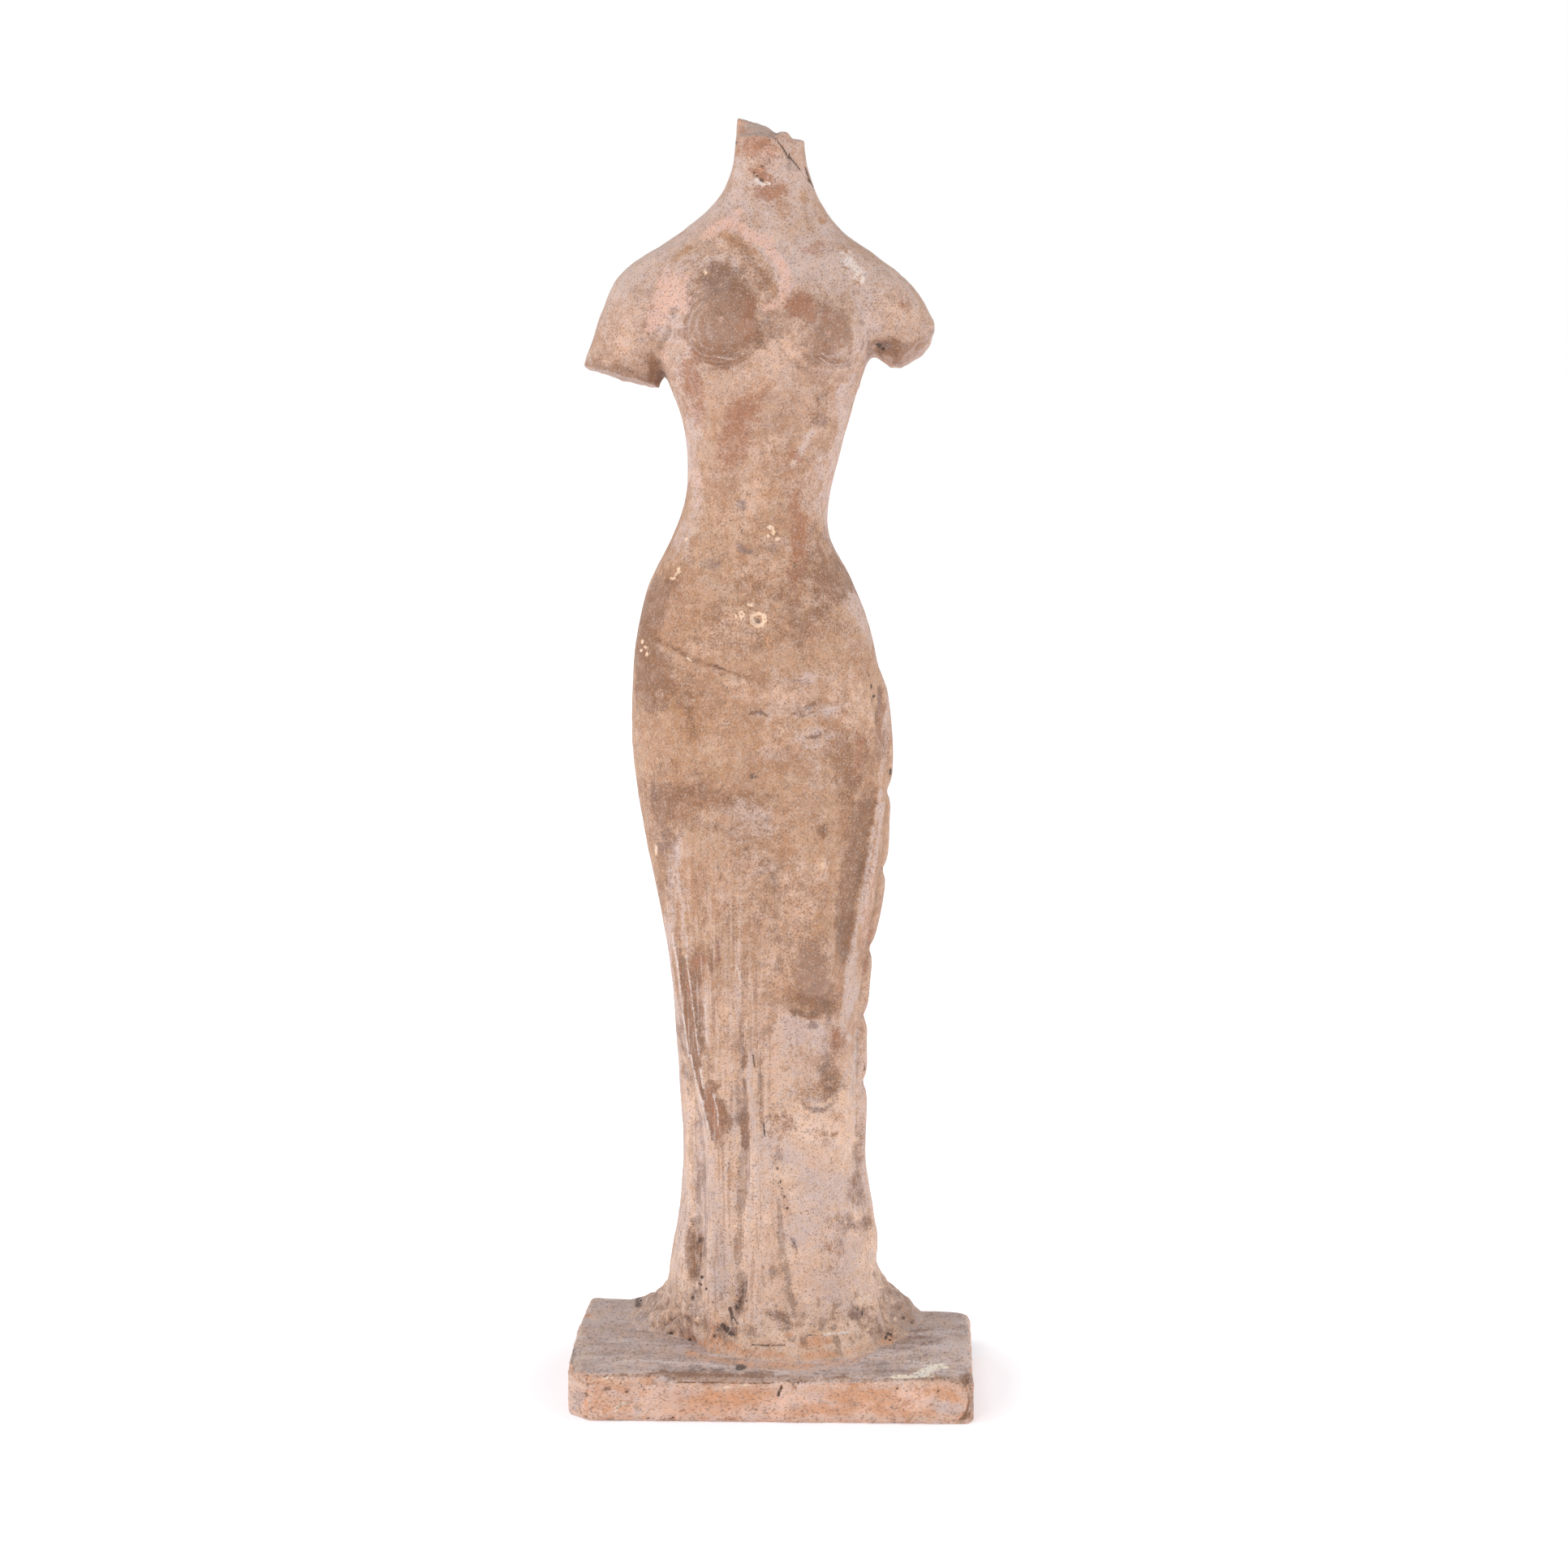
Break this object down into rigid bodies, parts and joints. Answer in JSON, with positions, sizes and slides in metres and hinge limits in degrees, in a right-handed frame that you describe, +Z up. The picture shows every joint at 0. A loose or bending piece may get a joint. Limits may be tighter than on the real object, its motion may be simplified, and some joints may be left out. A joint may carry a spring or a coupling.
{
  "type": "terracotta statuette",
  "caption": "Broken terracotta statuette of a standing draped woman, head and arms lost, on a low rectangular slab plinth.",
  "frame": {"origin": "middle of the plinth's underside, on the surface that it stands on", "axes": "+Z up along the figure, the figure faces -Y, +X is to the right of someone who looks at its front"},
  "size_m": [0.074, 0.0522, 0.2349],
  "materials": {
    "figure_clay": "matt fired clay, pinkish buff with brown stains and a pale bloom",
    "slab_clay": "matt fired clay, grey-brown on top and peach-orange on its edges"
  },
  "bodies": {
    "root": {"figure": "figure_clay", "plinth": "slab_clay"}
  },
  "joints": []
}
